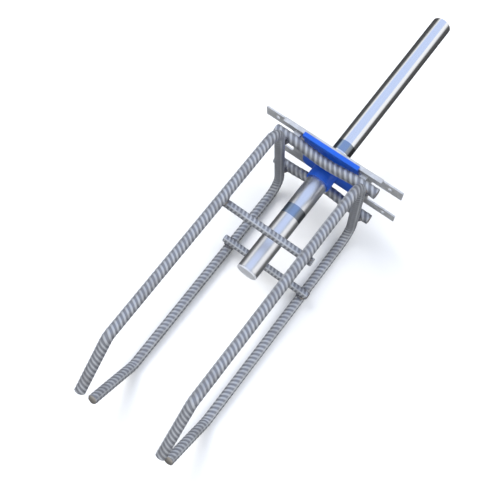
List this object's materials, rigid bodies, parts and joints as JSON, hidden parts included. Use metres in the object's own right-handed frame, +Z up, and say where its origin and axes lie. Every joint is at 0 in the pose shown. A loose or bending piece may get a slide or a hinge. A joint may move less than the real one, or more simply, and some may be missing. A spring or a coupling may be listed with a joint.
{
  "type": "sleeved shear dowel with anchor cage",
  "caption": "Smooth steel dowel sliding in a closed sleeve that a nail-on front plate and a welded cage of ribbed bars anchor in a concrete slab edge.",
  "frame": {"origin": "bottom centre of the whole assembly's box, on the surface that the two lower legs lie on", "axes": "+X along the dowel from the cage to its free end, +Y across the front plate, +Z up"},
  "size_m": [0.5582, 0.168, 0.1458],
  "materials": {
    "stainless": "ground and polished stainless steel",
    "zinc_plate": "bright galvanised sheet",
    "ribbed_steel": "ribbed reinforcing bar, galvanised grey",
    "blue_plastic": "moulded, slightly glossy",
    "weld_metal": "as-welded"
  },
  "bodies": {
    "cage": {"dowel_sleeve": "stainless", "sleeve_end_cap": "stainless", "front_plate": "zinc_plate", "sleeve_collar": "blue_plastic", "left_stirrup": "ribbed_steel", "right_stirrup": "ribbed_steel", "upper_front_bar": "ribbed_steel", "lower_front_bar": "ribbed_steel", "upper_cross_bar": "ribbed_steel", "lower_cross_bar": "ribbed_steel", "left_spacer": "zinc_plate", "upper_left_front_weld": "weld_metal", "upper_left_cross_weld": "weld_metal", "right_spacer": "zinc_plate", "upper_right_front_weld": "weld_metal", "upper_right_cross_weld": "weld_metal", "lower_left_front_weld": "weld_metal", "lower_left_cross_weld": "weld_metal", "lower_right_front_weld": "weld_metal", "lower_right_cross_weld": "weld_metal"},
    "dowel": {"dowel_bar": "stainless"}
  },
  "joints": [
    {"name": "dowel_slide", "type": "slide", "parent": "cage", "child": "dowel", "axis": [1, 0, 0], "range_m": [-0.007, 0.06]}
  ]
}
